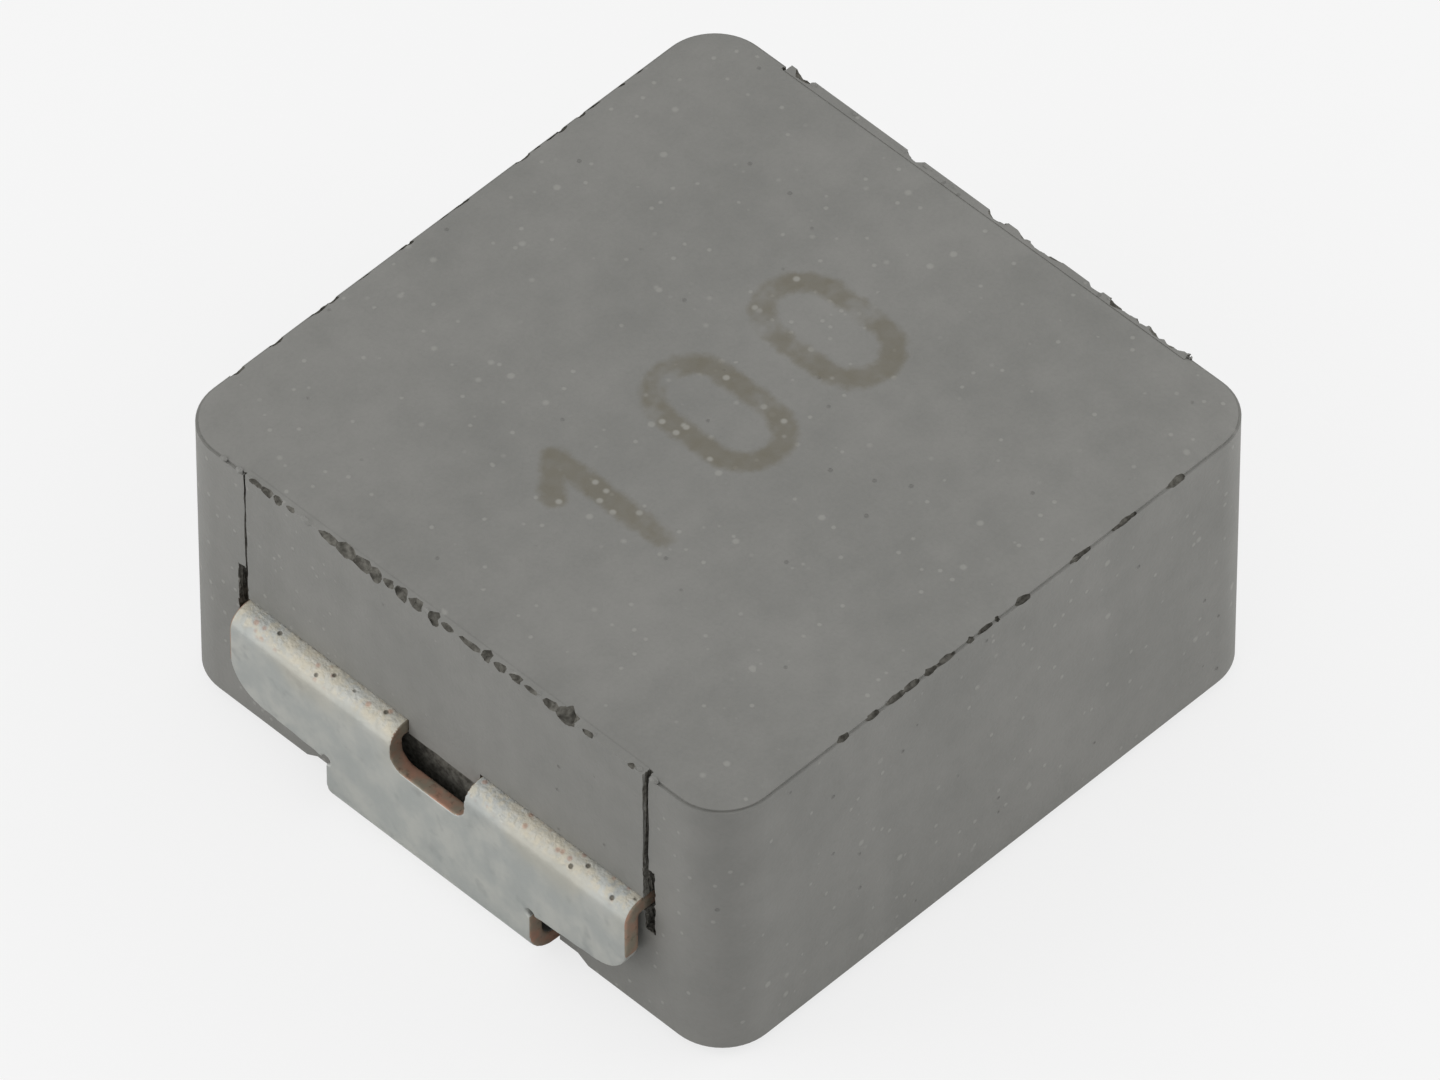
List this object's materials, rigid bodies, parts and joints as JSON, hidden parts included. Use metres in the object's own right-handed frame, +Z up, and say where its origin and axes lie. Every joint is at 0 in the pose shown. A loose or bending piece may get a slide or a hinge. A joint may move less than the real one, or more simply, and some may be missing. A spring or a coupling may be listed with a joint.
{
  "type": "shielded smd inductor",
  "caption": "Square moulded power inductor: a pressed iron-powder block around a ribbon coil, with a notched tinned terminal folded down each end and under the body.",
  "frame": {"origin": "under the middle of the part, in the plane of the two feet's undersides, which is the soldering plane", "axes": "+X from the left terminal to the right one, +Y along the core's width, +Z up to the pick-up face"},
  "size_m": [0.0136, 0.0126, 0.0061],
  "materials": {
    "core": "matte warm grey pressed iron powder with resin binder",
    "winding": "enamelled copper ribbon",
    "tinplate": "matte tin plate over copper sheet"
  },
  "bodies": {
    "root": {"pressed_core": "core", "coil": "winding", "terminal_left": "tinplate", "terminal_right": "tinplate"}
  },
  "joints": []
}
